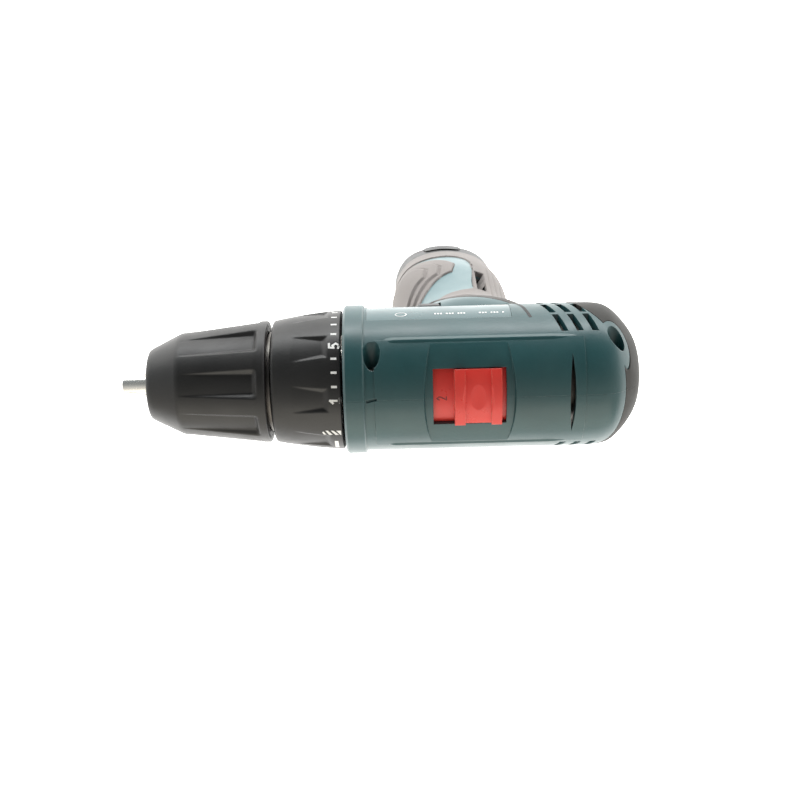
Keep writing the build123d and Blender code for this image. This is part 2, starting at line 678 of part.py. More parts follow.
def build_chuck():
    rod = jaw_rod(JAW_R, JAW_LENGTH + 2, -6)
    rod = rod & disc(30, JAW_TIP_X - JAW_LENGTH * math.cos(JAW_SLOPE) - 1, JAW_TIP_X)
    reach = 30.0
    side = math.radians(60)
    wedge = make_face(
        Polyline(
            [
                (0, 0.12),
                (reach * math.sin(side), 0.12 + reach * math.cos(side)),
                (0, 2 * reach),
                (-reach * math.sin(side), 0.12 + reach * math.cos(side)),
            ],
            close=True,
        )
    )
    jaw = rod & (across(60) * extrude(wedge, 70))
    tip_bevel = turned(
        [
            (JAW_TIP_X - 0.6, JAW_TIP_R + 0.5),
            (JAW_TIP_X + 1, JAW_TIP_R - 1.1),
            (JAW_TIP_X + 1, 9),
            (JAW_TIP_X - 0.6, 9),
        ]
    )
    jaw = jaw - tip_bevel
    for index in range(3):
        save(f"jaw_{index + 1}", around(jaw, 120 * index + JAW_CLOCK))

    core = turned(
        [
            (CHUCK_REAR_X, SPINDLE_R),
            (CHUCK_REAR_X, 17.6),
            (CHUCK_REAR_X + 0.8, 17.6),
            (CHUCK_REAR_X + 0.8, CHUCK_CORE_R),
            (79.4, CHUCK_CORE_R),
            (79.4, 13.2),
            (88.6, 13.2),
            (88.6, CHUCK_CORE_R),
            (95.5, CHUCK_CORE_R),
            (106.0, 10.9),
            (109.0, 10.7),
            (109.0, 5.2),
            (80.0, 5.2),
            (80.0, SPINDLE_R),
        ]
    )
    slot = jaw_rod(JAW_R + 0.08, 60, -12)
    for index in range(3):
        core = core - around(slot, 120 * index + JAW_CLOCK)
    save("chuck_body", main_solid(core))

    head = disc(3.7, 83.4, 86.4) - across(85.0) * extrude(RegularPolygon(2.0, 6), 3)
    save("chuck_screw", head + disc(2.5, 67.0, 83.5))

    nut = tube(17.2, 13.5, 79.8, 88.2)
    save("chuck_nut", nut)

    sleeve = turned(
        [
            (SLEEVE_X[0], 17.9),
            (SLEEVE_X[0], 20.9),
            (SLEEVE_X[0] + 0.6, 21.5),
            (SLEEVE_X[0] + 4.0, 21.4),
            (SLEEVE_SHOULDER_X - 1.0, 18.0),
            (SLEEVE_SHOULDER_X, 17.6),
            (SLEEVE_X[1] - 1.2, 12.8),
            (SLEEVE_X[1] - 0.3, 12.3),
            (SLEEVE_X[1], 11.9),
            (SLEEVE_X[1], 11.2),
            (106.2, 11.2),
            (95.9, 17.1),
            (89.0, 17.21),
            (79.0, 17.21),
            (79.0, 17.9),
        ]
    )
    # eight long flats give the hand a hold
    slope = math.degrees(math.atan2(21.4 - 18.0, SLEEVE_SHOULDER_X - 1 - SLEEVE_X[0] - 4))
    panel = Box(25.0, 9.0, 4.0, align=(Align.CENTER, Align.CENTER, Align.MIN))
    panel = Pos(84.0, 0, AXIS_Z + 18.95) * Rot(0, slope, 0) * panel
    for cut in ring_of(panel, 8, 15):
        sleeve = sleeve - cut
    save("chuck_sleeve", sleeve)


# ---------------------------------------------------------------- motor
def build_motor():
    rear, front = MOTOR_X
    can = tube(MOTOR_R, MOTOR_R - 1.2, rear + 2.5, front)
    can = can + tube(MOTOR_R, 4.2, front - 1.2, front)
    can = can + tube(5.2, SHAFT_R + 0.5, front - 1.3, front - 0.02)
    for hole in ring_of(across(front - 3) * Pos(11.0, 0, 0) * extrude(Circle(2.0), 5), 4, 45):
        can = can - hole
    save("motor_can", can)

    magnet = sector(MOTOR_R - 1.22, 13.6, rear + 9.0, front - 5.0, 60.0)
    save("motor_magnets", group([magnet, around(magnet, 180)]))

    cap = disc(MOTOR_R - 0.02, rear, rear + 2.5) + tube(MOTOR_R - 1.22, 12.4, rear + 2.4, rear + 6.0)
    cap = cap + disc(5.0, rear - 3.0, rear + 0.1)
    cap = cap - disc(SHAFT_R + RUNNING, rear - 2.0, rear + 4)
    for hole in ring_of(across(rear - 1) * Pos(10.5, 0, 0) * extrude(SlotOverall(7, 3), 6), 2):
        cap = cap - hole
    save("motor_end_cap", cap)

    brush = block(rear + 3.2, rear + 6.6, -2.0, 2.0, AXIS_Z + 4.75, AXIS_Z + 10.5)
    holder = block(rear + 2.5, rear + 7.4, -2.8, 2.8, AXIS_Z + 5.6, AXIS_Z + 11.8)
    assembly = holder + brush
    save("motor_brushes", group(ring_of(assembly, 2, 90)))

    save("motor_shaft", disc(SHAFT_R, rear - 1.6, -4.7))
    laminations = lamination_outline()
    stack = across(rear + 11.0) * extrude(laminations, 16.5)
    save("armature", stack)
    save("commutator", tube(4.6, SHAFT_R, rear + 2.9, rear + 8.2))
    fan = tube(3.2, SHAFT_R, front - 5.0, front - 1.8)
    disc_back = tube(13.0, SHAFT_R + 0.5, front - 2.6, front - 1.8)
    blade = block(front - 5.0, front - 2.5, 3.0, 12.8, AXIS_Z - 0.5, AXIS_Z + 0.5)
    save("motor_fan", joined([fan, disc_back] + ring_of(blade, 9)))
    save("motor_pinion", outer_gear(SUN_TEETH, -10.4, -4.7, SHAFT_R))


def lamination_outline():
    """A five-pole lamination: a disc with slots cut in from its rim."""
    face = Circle(13.1) - Circle(SHAFT_R)
    for index in range(5):
        slot = Rot(0, 0, 72 * index) * Pos(11.0, 0, 0) * Rectangle(5.4, 1.8)
        bulb = Rot(0, 0, 72 * index) * Pos(9.0, 0, 0) * Circle(2.6)
        face = face - slot - bulb
    return face


# ---------------------------------------------------------------- switch, trigger, direction slider, light
def build_controls():
    lo, hi = TRIGGER_Z
    profile = Spline(
        [(25.5, 0, hi), (21.2, 0, hi - 8), (20.6, 0, lo + 9), (23.2, 0, lo)],
        tangents=[(-0.75, 0, -1), (0.8, 0, -1)],
    )
    back = Polyline([profile @ 1, (9.0, 0, lo), (9.0, 0, hi), profile @ 0])
    blade = extrude(make_face(profile + back), 7.0, dir=(0, 1, 0), both=True)
    blade = fillet(blade.edges().filter_by(lambda e: e.center().X > 19 and abs(e.center().Y) > 6.9), 1.8)
    stem = block(2.5, 9.1, -3.0, 3.0, lo + 11, lo + 15)
    save("trigger", blade + stem)

    switch = block(-13.0, -0.5, -7.6, 7.6, lo + 1, hi - 1)
    switch = chamfer(switch.edges().filter_by(Axis.Y), 0.8)
    switch = switch - block(-4.6, 3, -3.3, 3.3, lo + 10.7, lo + 15.3)
    save("switch_body", switch)

    x0, x1 = DIRECTION_X - DIRECTION_HALF_X, DIRECTION_X + DIRECTION_HALF_X
    half_z = DIRECTION_HALF_Z
    slider = block(x0, x1, -DIRECTION_Y, DIRECTION_Y, DIRECTION_Z - half_z, DIRECTION_Z + half_z)
    slider = fillet(slider.edges().filter_by(Axis.Y), 1.4)
    save("direction_slider", chamfer(slider.faces().sort_by(Axis.Y)[0].edges(), 0.5))

    light = light_form(0.0)
    save("work_light", fillet(light.edges().group_by(Axis.Z)[0], 0.7))


def trigger_spring():
    """A small coil spring behind the trigger, on the switch's front face, at its pressed length."""
    lo = TRIGGER_Z[0]
    height = 2.0
    path = Helix(pitch=0.5, height=height, radius=1.9)
    wire = sweep(Plane(origin=path @ 0, z_dir=path % 0) * Circle(0.18), path=path)
    return Plane(origin=(-0.3, 0, lo + 5.5), x_dir=(0, 1, 0), z_dir=(1, 0, 0)) * wire


# ---------------------------------------------------------------- battery
def cell_places():
    """Three cells in a triangle: two side by side and one behind them."""
    drop = CELL_R * math.sqrt(3) / 2
    return [(CASE_CENTRE_X - CELL_R, -drop), (CASE_CENTRE_X + CELL_R, -drop), (CASE_CENTRE_X, drop)]


def case_form(inset, low, high):
    """The battery's case inside the handle: straight, so that it slides out through the mouth."""
    section = superellipse(low, *CASE_HALF, CASE_CENTRE_X, inset)
    return extrude(section, high - low, dir=(0, 0, 1))


def build_battery():
    case = case_form(0, *CASE_Z) - case_form(BATTERY_WALL, CASE_Z[0] + BATTERY_WALL, CASE_Z[1] - 1.5)
    stem = block(-10, 8, -9, 9, CASE_Z[1] - 0.2, STEM_TOP_Z)
    legs = [bar_z(3.0, CASE_CENTRE_X + x, y, 2.0, CASE_Z[0] + 0.2) for x in (-8, 8) for y in (-8, 8)]
    save("battery_case", main_solid(joined([case, stem] + legs)))

    cup = handle_form(0, 0, SPLIT_Z - GAP) - handle_form(CUP_INSET, 2.0, SPLIT_Z + 1)
    windows = [release_pad(side, GAP, -3.0, CUP_INSET + 1) for side in (-1, 1)]
    for window in windows:
        cup = cup - window
    save("battery_base", main_solid(cup))

    low = CELL_LOW_Z
    cells = [bar_z(CELL_R - 0.05, x, y, low, low + CELL_LENGTH) for x, y in cell_places()]
    save("battery_cells", group(cells))
    contacts = [block(-7.5, -1.5, y - 0.4, y + 0.4, STEM_TOP_Z, STEM_TOP_Z + 3.5) for y in (-6.0, 0.0, 6.0)]
    save("battery_contacts", group(contacts))
    terminal = block(-10, 0, -8, 8, STEM_TOP_Z + 0.6, STEM_TOP_Z + 8.0)
    for y in (-6.0, 0.0, 6.0):
        terminal = terminal - block(-8, -1, y - 0.75, y + 0.75, STEM_TOP_Z, STEM_TOP_Z + 4.2)
    save("terminal_block", terminal)
    save("release_button_right", release_pad(-1, 0, -0.5, 1.4))
    save("release_button_left", release_pad(1, 0, -0.5, 1.4))


def release_pad(side, grow, outer_inset, inner_inset):
    """A battery release pad in the side of the base, between two depths below its surface."""
    x0, x1 = RELEASE_X
    z0, z1 = RELEASE_Z
    area = block(x0 - grow, x1 + grow, 5, 40, z0 - grow, z1 + grow)
    area = fillet(area.edges().filter_by(Axis.Y), 3.0 + grow)
    pad = (area & handle_form(outer_inset, 0, 60)) - handle_form(inner_inset, 0, 60)
    pad = main_solid(pad)
    return pad if side > 0 else mirror(pad, Plane.XZ)


# ---------------------------------------------------------------- all parts
os.makedirs("parts", exist_ok=True)
build_housing()
build_selector()
build_gearbox()
build_clutch()
build_collar()
build_chuck()
build_motor()
build_controls()
save("trigger_spring", trigger_spring())
build_battery()
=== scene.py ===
import json
import math

import bmesh
import bpy
import numpy as np
from mathutils import Matrix, Vector
from mathutils.bvhtree import BVHTree

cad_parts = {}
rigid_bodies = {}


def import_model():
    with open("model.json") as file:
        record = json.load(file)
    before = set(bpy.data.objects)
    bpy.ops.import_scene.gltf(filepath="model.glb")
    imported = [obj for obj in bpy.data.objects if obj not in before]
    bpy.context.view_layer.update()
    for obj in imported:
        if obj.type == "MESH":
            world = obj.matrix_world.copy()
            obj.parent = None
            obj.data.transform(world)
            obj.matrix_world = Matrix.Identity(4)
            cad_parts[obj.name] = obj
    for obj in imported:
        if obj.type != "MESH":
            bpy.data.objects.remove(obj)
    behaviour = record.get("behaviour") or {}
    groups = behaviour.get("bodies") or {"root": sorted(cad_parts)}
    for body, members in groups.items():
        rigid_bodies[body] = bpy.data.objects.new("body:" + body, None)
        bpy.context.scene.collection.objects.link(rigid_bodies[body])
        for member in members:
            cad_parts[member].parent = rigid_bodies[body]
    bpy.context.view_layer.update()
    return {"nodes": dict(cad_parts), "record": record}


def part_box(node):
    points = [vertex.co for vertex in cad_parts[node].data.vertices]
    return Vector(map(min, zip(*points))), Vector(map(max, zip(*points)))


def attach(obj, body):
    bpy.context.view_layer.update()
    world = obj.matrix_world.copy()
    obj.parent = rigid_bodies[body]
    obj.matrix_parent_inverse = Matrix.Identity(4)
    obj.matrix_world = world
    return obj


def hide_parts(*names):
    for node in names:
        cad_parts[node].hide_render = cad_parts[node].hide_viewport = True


# Looks for a compact cordless drill: materials on the CAD nodes, printed dial marks, sculpted soft grips,
# moulded chuck sleeve and torque collar, studio and camera. Metres, in the part's own frame.

for leftover in list(bpy.data.objects):
    bpy.data.objects.remove(leftover)
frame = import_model()
NODES = frame["nodes"]

MM = 0.001
AXIS_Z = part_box("chuck_body")[0].z / 2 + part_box("chuck_body")[1].z / 2
HANDLE_PAINTED_LIGHT_FADE = (0.108, 0.136)        # heights, in metres, between which the painted light that draws the handle paler fades out


# ---------------------------------------------------------------- node helpers
class Tree:
    """Short calls for building a material's node tree."""

    def __init__(self, name):
        self.material = bpy.data.materials.new(name)
        self.material.use_nodes = True
        self.tree = self.material.node_tree
        self.shader = self.tree.nodes["Principled BSDF"]
        self.place = self.add("ShaderNodeTexCoord").outputs["Object"]

    def add(self, kind, **settings):
        node = self.tree.nodes.new(kind)
        for key, value in settings.items():
            if key in node.inputs:
                node.inputs[key].default_value = value
            else:
                setattr(node, key, value)
        return node

    def link(self, source, target):
        self.tree.links.new(source, target)
        return target

    def set(self, **values):
        """Plain values on the shader's own sockets, with spaces written as underscores."""
        for key, value in values.items():
            self.shader.inputs[key.replace("_", " ")].default_value = value

    def noise(self, scale, detail=3.0, roughness=0.55, stretch=(1, 1, 1)):
        """Soft noise over the piece, drawn out along an axis where stretch is small."""
        source = self.place
        if stretch != (1, 1, 1):
            mapping = self.add("ShaderNodeMapping")
            mapping.inputs["Scale"].default_value = stretch
            self.link(source, mapping.inputs["Vector"])
            source = mapping.outputs["Vector"]
        node = self.add("ShaderNodeTexNoise", Scale=scale, Detail=detail, Roughness=roughness)
        self.link(source, node.inputs["Vector"])
        return node.outputs["Fac"]

    def cells(self, scale):
        """How far each point is from the middle of its small cell, for a fine grain."""
        node = self.add("ShaderNodeTexVoronoi", Scale=scale)
        self.link(self.place, node.inputs["Vector"])
        return node.outputs["Distance"]

    def handled(self):
        """One on the handle and nought on the barrel above it: the mask for the painted light that draws the
        handle paler.
        """
        split = self.add("ShaderNodeSeparateXYZ")
        self.link(self.place, split.inputs[0])
        return self.ramp(split.outputs["Z"], 1.0, 0.0, *HANDLE_PAINTED_LIGHT_FADE)

    def ramp(self, value, low, high, from_low=0.0, from_high=1.0):
        """A value remapped and clamped."""
        node = self.add("ShaderNodeMapRange", clamp=True)
        node.inputs["From Min"].default_value = from_low
        node.inputs["From Max"].default_value = from_high
        node.inputs["To Min"].default_value = low
        node.inputs["To Max"].default_value = high
        self.link(value, node.inputs["Value"])
        return node.outputs["Result"]

    def mix(self, factor, first, second):
        """Two colours mixed by a factor; either may be a socket or four numbers."""
        node = self.add("ShaderNodeMix", data_type="RGBA")
        self.link(factor, node.inputs[0])
        for index, colour in ((6, first), (7, second)):
            if isinstance(colour, tuple):
                node.inputs[index].default_value = colour
            else:
                self.link(colour, node.inputs[index])
        return node.outputs[2]

    def add_values(self, first, second, weight):
        """The first value plus a share of the second."""
        node = self.add("ShaderNodeMath", operation="MULTIPLY_ADD")
        self.link(second, node.inputs[0])
        node.inputs[1].default_value = weight
        self.link(first, node.inputs[2])
        return node.outputs[0]

    def bevel(self, radius):
        """The surface's direction as if its edges were rounded to a radius."""
        node = self.add("ShaderNodeBevel", samples=4)
        node.inputs["Radius"].default_value = radius
        return node.outputs["Normal"]

    def bump(self, height, distance, strength, normal=None):
        """A height turned into relief of up to a distance in metres."""
        node = self.add("ShaderNodeBump")
        node.inputs["Distance"].default_value = distance
        node.inputs["Strength"].default_value = strength
        self.link(height, node.inputs["Height"])
        if normal is not None:
            self.link(normal, node.inputs["Normal"])
        return node.outputs["Normal"]

    def edges(self, radius):
        """One on sharp edges, nought on flats, from how far the rounded normal leaves the true one."""
        flat, sharp = 0.002, 0.05
        round_normal = self.bevel(radius)
        true_normal = self.add("ShaderNodeNewGeometry").outputs["Normal"]
        dot = self.add("ShaderNodeVectorMath", operation="DOT_PRODUCT")
        self.link(round_normal, dot.inputs[0])
        self.link(true_normal, dot.inputs[1])
        return self.ramp(dot.outputs["Value"], 1.0, 0.0, 1.0 - sharp, 1.0 - flat)


def rgb(r, g, b):
    return (r, g, b, 1.0)


def scaled(colour, factor):
    """A colour made lighter or darker."""
    return tuple(factor * c for c in colour[:3]) + (1.0,)


# ---------------------------------------------------------------- materials
def moulded_plastic(name, base, lighter, rough, grain=1500.0, depth=0.025, coat=0.0, wear=0.8, handled=None):
    """Moulded plastic: fine spark-eroded grain, slow tone changes, edges rubbed a little lighter, and
    painted light on the handle when asked for.
    """
    t = Tree(name)
    tone = t.ramp(t.noise(38.0, 4.0), 0.0, 1.0, 0.35, 0.65)
    colour = t.mix(tone, scaled(base, 0.82), base)
    # painted light: the handle drawn paler than the barrel above it
    if handled:
        colour = t.mix(t.handled(), colour, handled)
    worn = t.edges(0.5 * MM)
    scuffed = t.add("ShaderNodeMath", operation="MULTIPLY")
    t.link(worn, scuffed.inputs[0])
    t.link(t.ramp(t.noise(210.0, 5.0), 0.0, wear, 0.4, 0.62), scuffed.inputs[1])
    colour = t.mix(scuffed.outputs[0], colour, lighter)
    t.link(colour, t.shader.inputs["Base Color"])
    rub = t.ramp(t.noise(85.0, 5.0, 0.6), rough - 0.06, rough + 0.07, 0.3, 0.7)
    t.link(rub, t.shader.inputs["Roughness"])
    height = t.add_values(t.cells(grain), t.noise(grain * 0.7, 2.0), 0.6)
    normal = t.bump(height, depth * MM, 0.35, t.bevel(0.35 * MM))
    t.link(normal, t.shader.inputs["Normal"])
    t.set(IOR=1.49, Coat_Weight=coat, Coat_Roughness=0.25)
    return t.material


def soft_rubber(name, base, dusty, handled, rough):
    """Overmoulded elastomer: matt, very fine grain, dust in patches, and painted light: a paler tone on the
    handle.
    """
    t = Tree(name)
    dust = t.ramp(t.noise(60.0, 6.0, 0.65), 0.0, 0.75, 0.38, 0.72)
    # painted light: the handle drawn paler than the cap above it, with the dust patches mixed into both
    # tones
    colour = t.mix(t.handled(), t.mix(dust, base, dusty), t.mix(dust, handled, scaled(handled, 1.25)))
    t.link(colour, t.shader.inputs["Base Color"])
    t.link(t.ramp(t.noise(120.0, 4.0), rough - 0.05, rough + 0.08, 0.3, 0.7), t.shader.inputs["Roughness"])
    grain = t.add_values(t.cells(2200.0), t.noise(1300.0, 2.0), 0.8)
    t.link(t.bump(grain, 0.03 * MM, 0.45, t.bevel(0.4 * MM)), t.shader.inputs["Normal"])
    t.set(IOR=1.4, Sheen_Weight=0.05, Sheen_Roughness=0.5)
    return t.material


def metal(name, base, tint, rough, turned=True, lay_depth=0.003):
    """Metal with a fine lay, round the chuck axis if turned and along it if ground, and a slight tint."""
    t = Tree(name)
    t.link(t.mix(t.ramp(t.noise(90.0, 4.0), 0.0, 1.0, 0.35, 0.7), base, tint), t.shader.inputs["Base Color"])
    stretch = (9.0, 0.35, 0.35) if turned else (0.35, 6.0, 6.0)
    lay = t.noise(260.0, 2.0, 0.5, stretch)
    t.link(t.ramp(lay, rough - 0.04, rough + 0.06, 0.3, 0.7), t.shader.inputs["Roughness"])
    t.link(t.bump(lay, lay_depth * MM, 0.3, t.bevel(0.15 * MM)), t.shader.inputs["Normal"])
    t.set(Metallic=1.0)
    return t.material


def print_ink(name, base):
    """A thin film with slightly uneven cover: pad-printed ink, and painted shade where a darker line stands
    in for shade.
    """
    t = Tree(name)
    cover = t.ramp(t.noise(900.0, 4.0), 0.0, 1.0, 0.3, 0.6)
    t.link(t.mix(cover, scaled(base, 0.8), base), t.shader.inputs["Base Color"])
    t.link(t.bump(t.noise(2500.0, 2.0), 0.01 * MM, 0.4), t.shader.inputs["Normal"])
    t.set(Roughness=0.5)
    return t.material


def make_materials():
    made = {
        "teal_plastic": moulded_plastic(
            "teal_plastic", rgb(0.022, 0.080, 0.086), rgb(0.07, 0.15, 0.16), 0.36, coat=0.2, wear=0.35,
            # painted light: the paler teal on the handle
            handled=rgb(0.10, 0.19, 0.205),
        ),
        "label_film": moulded_plastic(
            "label_film", rgb(0.03, 0.10, 0.11), rgb(0.12, 0.22, 0.23), 0.3,
            grain=900.0, depth=0.003, coat=0.5,
        ),
        "black_plastic": moulded_plastic(
            "black_plastic", rgb(0.012, 0.0118, 0.0118), rgb(0.05, 0.048, 0.046), 0.40, grain=1700.0
        ),
        "red_plastic": moulded_plastic(
            "red_plastic", rgb(0.80, 0.055, 0.042), rgb(0.88, 0.16, 0.12), 0.30, grain=1200.0, depth=0.012
        ),
        # the third colour is painted light: the paler rubber on the handle
        "grip_rubber": soft_rubber(
            "grip_rubber", rgb(0.020, 0.019, 0.016), rgb(0.034, 0.032, 0.028), rgb(0.21, 0.19, 0.18),
            0.62,
        ),
        "zinc_screw": metal("zinc_screw", rgb(0.30, 0.29, 0.27), rgb(0.22, 0.2, 0.17), 0.38),
        "jaw_steel": metal(
            "jaw_steel", rgb(0.66, 0.65, 0.62), rgb(0.56, 0.54, 0.50), 0.22, turned=False, lay_depth=0.0001
        ),
        "gear_steel": metal("gear_steel", rgb(0.17, 0.165, 0.155), rgb(0.11, 0.10, 0.09), 0.36),
        "nylon": moulded_plastic("nylon", rgb(0.07, 0.07, 0.075), rgb(0.14, 0.14, 0.14), 0.45),
        "magnet_ferrite": moulded_plastic(
            "magnet_ferrite", rgb(0.05, 0.05, 0.052), rgb(0.12, 0.12, 0.12), 0.7
        ),
        "armature_iron": metal("armature_iron", rgb(0.32, 0.22, 0.14), rgb(0.22, 0.15, 0.10), 0.42),
        "copper": metal("copper", rgb(0.78, 0.42, 0.26), rgb(0.55, 0.30, 0.18), 0.28),
        "cell_wrap": moulded_plastic("cell_wrap", rgb(0.03, 0.16, 0.34), rgb(0.1, 0.3, 0.5), 0.22),
        "print_white": print_ink("print_white", rgb(0.82, 0.82, 0.80)),
        # painted shade: the dark line along the label panel's rear edge
        "seam_painted_shade": print_ink("seam_painted_shade", rgb(0.012, 0.012, 0.012)),
        # painted shade: a darker red standing in for the shade in the cut numeral
        "numeral_painted_shade": print_ink("numeral_painted_shade", rgb(0.16, 0.012, 0.010)),
    }
    lens = Tree("lens")
    lens.link(lens.ramp(lens.noise(400.0, 3.0), 0.06, 0.16, 0.3, 0.7), lens.shader.inputs["Roughness"])
    lens.set(Base_Color=rgb(0.86, 0.88, 0.9), Transmission_Weight=0.85, IOR=1.49)
    made["lens"] = lens.material
    return made


MATERIALS = make_materials()


def paint_cad_nodes():
    slots = {p["node"]: p["material_slot"] for p in frame["record"]["subparts"]}
    for name, obj in NODES.items():
        for index in range(len(obj.material_slots)):
            obj.material_slots[index].material = MATERIALS[slots[name]]


def piece(name, points, faces, body, finish, smooth=True):
    """A mesh piece from points in millimetres that rides on a body, in one of the materials above."""
    mesh = bpy.data.meshes.new(name)
    mesh.from_pydata([tuple(MM * c for c in p) for p in points], [], faces)
    mesh.update()
    tidy = bmesh.new()
    tidy.from_mesh(mesh)
    bmesh.ops.recalc_face_normals(tidy, faces=tidy.faces)
    tidy.to_mesh(mesh)
    tidy.free()
    mesh.polygons.foreach_set("use_smooth", [smooth] * len(mesh.polygons))
    mesh.materials.append(MATERIALS[finish])
    obj = bpy.data.objects.new(name, mesh)
    bpy.context.scene.collection.objects.link(obj)
    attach(obj, body)
    return obj


def smoothstep(value):
    value = np.clip(value, 0.0, 1.0)
    return value * value * (3.0 - 2.0 * value)


AXIS_MM = AXIS_Z / MM
BARREL_R = 25.3         # the housing round the gearbox and motor
COLLAR_RUN = [c.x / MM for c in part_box("torque_collar")]
SLEEVE_RUN = [c.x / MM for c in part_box("chuck_sleeve")]


def round_the_axis(radius, angle, x):
    """The point at a radius and an angle from the top, turning towards the drill's right."""
    return (x, -radius * math.sin(angle), AXIS_MM + radius * math.cos(angle))


def lathe(name, stations, radius_at, inside, body, finish):
    """A closed ring whose outer radius may change with the angle, with a plain turned inside."""
    count = 480
    angles = np.arange(count) * 2 * math.pi / count
    rings = [(x, radius_at(x, angles)) for x in stations]
    rings += [(x, np.full(count, r)) for x, r in inside]
    points = []
    for x, radii in rings:
        points += [round_the_axis(r, a, x) for r, a in zip(radii, angles)]
    faces = []
    for i in range(len(rings)):
        here, there = i * count, (i + 1) % len(rings) * count
        for j in range(count):
            k = (j + 1) % count
            faces.append((here + j, here + k, there + k, there + j))
    return piece(name, points, faces, body, finish)


HOLLOW_PITCH = math.pi / 4      # eight hollows round the collar, and eight panels round the sleeve


def off_centre(angles, pitch, first=0.0):
    """How far an angle is from the nearest of a row of evenly spaced ones."""
    return np.abs((angles - first + pitch / 2) % pitch - pitch / 2)


# ---------------------------------------------------------------- torque collar
COLLAR_R = 24.5         # at the rear
COLLAR_FALL = 3.1       # how much smaller it is in front
COLLAR_BORE_R = 20.9
COLLAR_MOUTH_R = 12.5
COLLAR_LIP = 2.6        # thickness of its front wall


def rounded_end(from_end, radius):
    """How far a rounded end has fallen away at a distance from it."""
    return radius * (1 - math.sqrt(max(0.0, 1 - (1 - min(from_end / radius, 1)) ** 2)))


def collar_profile(x):
    """The collar's radius without its hollows: a slow curve, with rounded ends."""
    rear, front = COLLAR_RUN
    x = min(max(x, rear), front)
    t = (x - rear) / (front - rear)
    r = COLLAR_R - COLLAR_FALL * t ** 1.5
    r -= rounded_end(x - rear, 0.7)
    r -= rounded_end(front - x, 1.0)
    return r


def collar_radius(x, angles):
    """Eight shallow finger hollows, deepest at the rear, with sloping walls that run out in front."""
    start, end, run_in = 48.2, 58.8, 2.4
    deepest = 0.85
    t = (x - start) / (end - start)
    plain = collar_profile(x)
    if x < start - run_in or t > 1:
        return np.full(len(angles), plain)
    fade = (1 - max(t, 0.0)) * float(smoothstep((x - start + run_in) / run_in))
    half_width = 4.35 + 0.5 * t
    wall = 1.5 * fade + 0.05
    arc = off_centre(angles, HOLLOW_PITCH) * plain
    return plain - deepest * fade * smoothstep((half_width - arc) / wall)


def build_collar():
    rear, front = COLLAR_RUN
    ends = [0.0, 0.08, 0.2, 0.4, 0.7, 1.0]
    stations = [rear + e for e in ends] + list(np.arange(rear + 1.4, front - 1.2, 0.35))
    stations += [front - e for e in reversed(ends)]
    behind_lip = front - COLLAR_LIP
    inside = [(front, COLLAR_MOUTH_R), (behind_lip, COLLAR_MOUTH_R)]
    inside += [(behind_lip, COLLAR_BORE_R), (rear, COLLAR_BORE_R)]
    collar = lathe("collar_shell", stations, collar_radius, inside, "collar", "black_plastic")
    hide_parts("torque_collar")


# ---------------------------------------------------------------- chuck sleeve
def sleeve_profile(x):
    """The sleeve's radius without its grip panels, with softened corners."""
    rear, front = SLEEVE_RUN
    places = [rear, rear + 0.15, rear + 0.6, rear + 4.0, 97.6, 98.8, 99.8]
    places += [front - 1.3, front - 0.5, front - 0.12, front]
    radii = [20.9, 21.25, 21.5, 21.4, 18.05, 17.7, 17.2, 12.95, 12.45, 12.1, 11.8]
    return float(np.interp(x, places, radii))


def sleeve_radius(x, angles):
    """Eight long panels let in at the rear, rising to the surface at the shoulder."""
    start, end = 71.9, 98.2
    end_wall = 1.5
    deepest = 1.6
    turned = math.radians(15)
    t = (x - start) / (end - start)
    plain = sleeve_profile(x)
    if x < start - end_wall or t > 1:
        return np.full(len(angles), plain)
    depth = deepest * (1 - max(t, 0.0)) * float(smoothstep((x - start + end_wall) / end_wall))
    half_width = 5.4 - 1.6 * t
    wall = 2.0 * (1 - max(t, 0.0)) + 0.1
    arc = off_centre(angles, HOLLOW_PITCH, turned) * plain
    return plain - depth * smoothstep((half_width - arc) / wall)


def build_sleeve():
    rear, front = SLEEVE_RUN
    stations = [rear, rear + 0.15, rear + 0.35, rear + 0.6] + list(np.arange(rear + 1.0, 97.4, 0.5))
    stations += [97.6, 98.2, 98.8, 99.3, 99.8] + list(np.arange(100.6, front - 1.4, 0.9))
    stations += [front - 1.3, front - 0.9, front - 0.5, front - 0.3, front - 0.12, front]
    inside = [(front, 11.2), (106.2, 11.2), (95.9, 17.1), (89.0, 17.21), (79.0, 17.21)]
    inside += [(79.0, 17.9), (rear, 17.9)]
    sleeve = lathe("sleeve_shell", stations, sleeve_radius, inside, "sleeve", "black_plastic")
    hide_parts("chuck_sleeve")


# ---------------------------------------------------------------- printed marks on the collar
DIGITS = {
    "0": [[(0.08, 0.2), (0.3, 0.02), (0.52, 0.2), (0.52, 0.8), (0.3, 0.98), (0.08, 0.8), (0.08, 0.2)]],
    "1": [[(0.08, 0.72), (0.32, 0.96), (0.32, 0.04)], [(0.1, 0.04), (0.54, 0.04)]],
    "2": [[(0.08, 0.76), (0.3, 0.98), (0.52, 0.78), (0.5, 0.6), (0.08, 0.04), (0.54, 0.04)]],
    "5": [[(0.5, 0.96), (0.12, 0.96), (0.09, 0.54), (0.32, 0.62), (0.54, 0.34), (0.32, 0.03), (0.06, 0.12)]],
}


